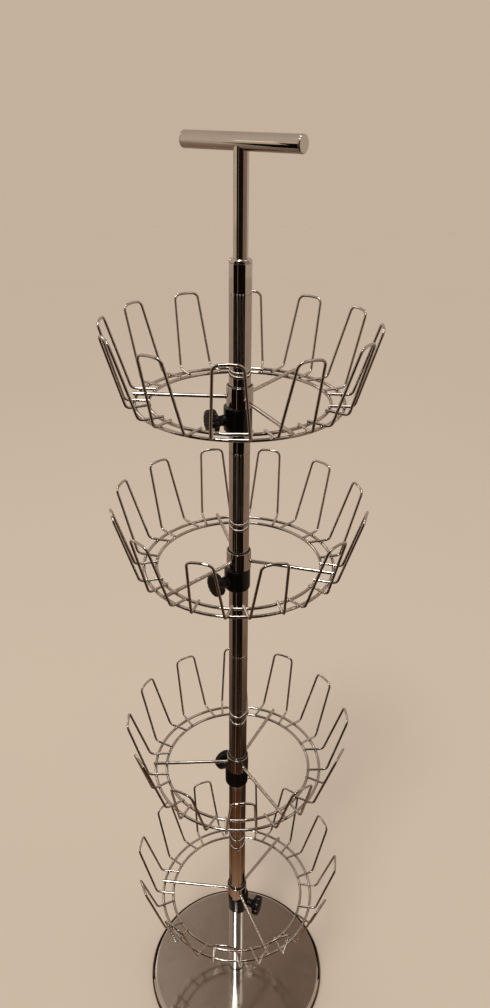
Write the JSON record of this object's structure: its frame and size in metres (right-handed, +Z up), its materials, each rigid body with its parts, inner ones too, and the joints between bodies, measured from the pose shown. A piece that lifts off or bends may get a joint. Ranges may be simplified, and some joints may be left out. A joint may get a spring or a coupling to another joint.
{
  "type": "rotating shoe tower",
  "caption": "Chromed pole on a round weighted base carrying revolving wire baskets of upright shoe hooks, each on a clamp collar with a thumb knob, under a T-bar handle.",
  "frame": {"origin": "centre of the base's underside, on the floor", "axes": "+Z up along the pole; -Y toward the viewer of the front; the T-bar points 35 degrees to the -Y side of +X"},
  "size_m": [0.3158, 0.3158, 1.3416],
  "materials": {
    "chrome": "bright chrome plate, polished",
    "steel": "zinc plated steel",
    "cast_iron": "rough casting, unpainted",
    "base_pad": "soft matt sheet",
    "black_plastic": "moulded, fine matt grain",
    "black_nylon": "smooth moulded nylon",
    "brass": "turned"
  },
  "bodies": {
    "stand": {"base_cover": "chrome", "base_weight": "cast_iron", "base_pad": "base_pad", "base_bolt": "steel", "base_washer": "steel", "foot_ring": "chrome", "pole_foot_plug": "steel", "pole_lower": "chrome", "pole_middle": "chrome", "pole_upper": "chrome", "pole_joints": "steel", "pole_cap": "chrome", "handle_stem": "chrome", "handle_bar": "chrome", "handle_end_caps": "chrome"},
    "top_clamp": {"clamp_collar_top": "black_plastic", "clamp_insert_top": "brass"},
    "top_basket": {"hub_top": "chrome", "hub_bush_top": "black_nylon", "spokes_top": "chrome", "inner_ring_top": "chrome", "outer_ring_top": "chrome", "hooks_top": "chrome"},
    "top_pad": {"clamp_pad_top": "black_nylon"},
    "top_knob": {"clamp_knob_top": "black_plastic", "clamp_stud_top": "steel"},
    "upper_clamp": {"clamp_collar_upper": "black_plastic", "clamp_insert_upper": "brass"},
    "upper_basket": {"hub_upper": "chrome", "hub_bush_upper": "black_nylon", "spokes_upper": "chrome", "inner_ring_upper": "chrome", "outer_ring_upper": "chrome", "hooks_upper": "chrome"},
    "upper_pad": {"clamp_pad_upper": "black_nylon"},
    "upper_knob": {"clamp_knob_upper": "black_plastic", "clamp_stud_upper": "steel"},
    "lower_clamp": {"clamp_collar_lower": "black_plastic", "clamp_insert_lower": "brass"},
    "lower_basket": {"hub_lower": "chrome", "hub_bush_lower": "black_nylon", "spokes_lower": "chrome", "inner_ring_lower": "chrome", "outer_ring_lower": "chrome", "hooks_lower": "chrome"},
    "lower_pad": {"clamp_pad_lower": "black_nylon"},
    "lower_knob": {"clamp_knob_lower": "black_plastic", "clamp_stud_lower": "steel"},
    "bottom_clamp": {"clamp_collar_bottom": "black_plastic", "clamp_insert_bottom": "brass"},
    "bottom_basket": {"hub_bottom": "chrome", "hub_bush_bottom": "black_nylon", "spokes_bottom": "chrome", "inner_ring_bottom": "chrome", "outer_ring_bottom": "chrome", "hooks_bottom": "chrome"},
    "bottom_pad": {"clamp_pad_bottom": "black_nylon"},
    "bottom_knob": {"clamp_knob_bottom": "black_plastic", "clamp_stud_bottom": "steel"}
  },
  "joints": [
    {"name": "top_tier_height", "type": "slide", "parent": "stand", "child": "top_clamp", "axis": [0, 0, 1], "range_m": [-0.06, 0.12]},
    {"name": "top_basket_spin", "type": "hinge", "parent": "top_clamp", "child": "top_basket", "pos_m": [0, 0, 1.062], "axis": [0, 0, 1], "continuous": true},
    {"name": "top_pad_travel", "type": "slide", "parent": "top_clamp", "child": "top_pad", "axis": [-0.9135, -0.4067, 0], "range_m": [0, 0.002]},
    {"name": "top_knob_turn", "type": "hinge", "parent": "top_pad", "child": "top_knob", "pos_m": [-0.03243, -0.01444, 1.04], "axis": [-0.9135, -0.4067, 0], "range_deg": [0, 720]},
    {"name": "upper_tier_height", "type": "slide", "parent": "stand", "child": "upper_clamp", "axis": [0, 0, 1], "range_m": [-0.12, 0.06]},
    {"name": "upper_basket_spin", "type": "hinge", "parent": "upper_clamp", "child": "upper_basket", "pos_m": [0, 0, 0.844], "axis": [0, 0, 1], "continuous": true},
    {"name": "upper_pad_travel", "type": "slide", "parent": "upper_clamp", "child": "upper_pad", "axis": [-0.809, -0.5878, 0], "range_m": [0, 0.002]},
    {"name": "upper_knob_turn", "type": "hinge", "parent": "upper_pad", "child": "upper_knob", "pos_m": [-0.02872, -0.02087, 0.822], "axis": [-0.809, -0.5878, 0], "range_deg": [0, 720]},
    {"name": "lower_tier_height", "type": "slide", "parent": "stand", "child": "lower_clamp", "axis": [0, 0, 1], "range_m": [-0.09, 0.12]},
    {"name": "lower_basket_spin", "type": "hinge", "parent": "lower_clamp", "child": "lower_basket", "pos_m": [0, 0, 0.494], "axis": [0, 0, 1], "continuous": true},
    {"name": "lower_pad_travel", "type": "slide", "parent": "lower_clamp", "child": "lower_pad", "axis": [-0.5878, 0.809, 0], "range_m": [0, 0.002]},
    {"name": "lower_knob_turn", "type": "hinge", "parent": "lower_pad", "child": "lower_knob", "pos_m": [-0.02087, 0.02872, 0.472], "axis": [-0.5878, 0.809, 0], "range_deg": [0, 720]},
    {"name": "bottom_tier_height", "type": "slide", "parent": "stand", "child": "bottom_clamp", "axis": [0, 0, 1], "range_m": [-0.14, 0.09]},
    {"name": "bottom_basket_spin", "type": "hinge", "parent": "bottom_clamp", "child": "bottom_basket", "pos_m": [0, 0, 0.209], "axis": [0, 0, 1], "continuous": true},
    {"name": "bottom_pad_travel", "type": "slide", "parent": "bottom_clamp", "child": "bottom_pad", "axis": [0.9426, -0.3338, 0], "range_m": [0, 0.002]},
    {"name": "bottom_knob_turn", "type": "hinge", "parent": "bottom_pad", "child": "bottom_knob", "pos_m": [0.03346, -0.01185, 0.187], "axis": [0.9426, -0.3338, 0], "range_deg": [0, 720]}
  ],
  "couplings": [
    {"joint": "top_pad_travel", "follows": "top_knob_turn", "m_per_rad": 0.00015915},
    {"joint": "upper_pad_travel", "follows": "upper_knob_turn", "m_per_rad": 0.00015915},
    {"joint": "lower_pad_travel", "follows": "lower_knob_turn", "m_per_rad": 0.00015915},
    {"joint": "bottom_pad_travel", "follows": "bottom_knob_turn", "m_per_rad": 0.00015915}
  ]
}
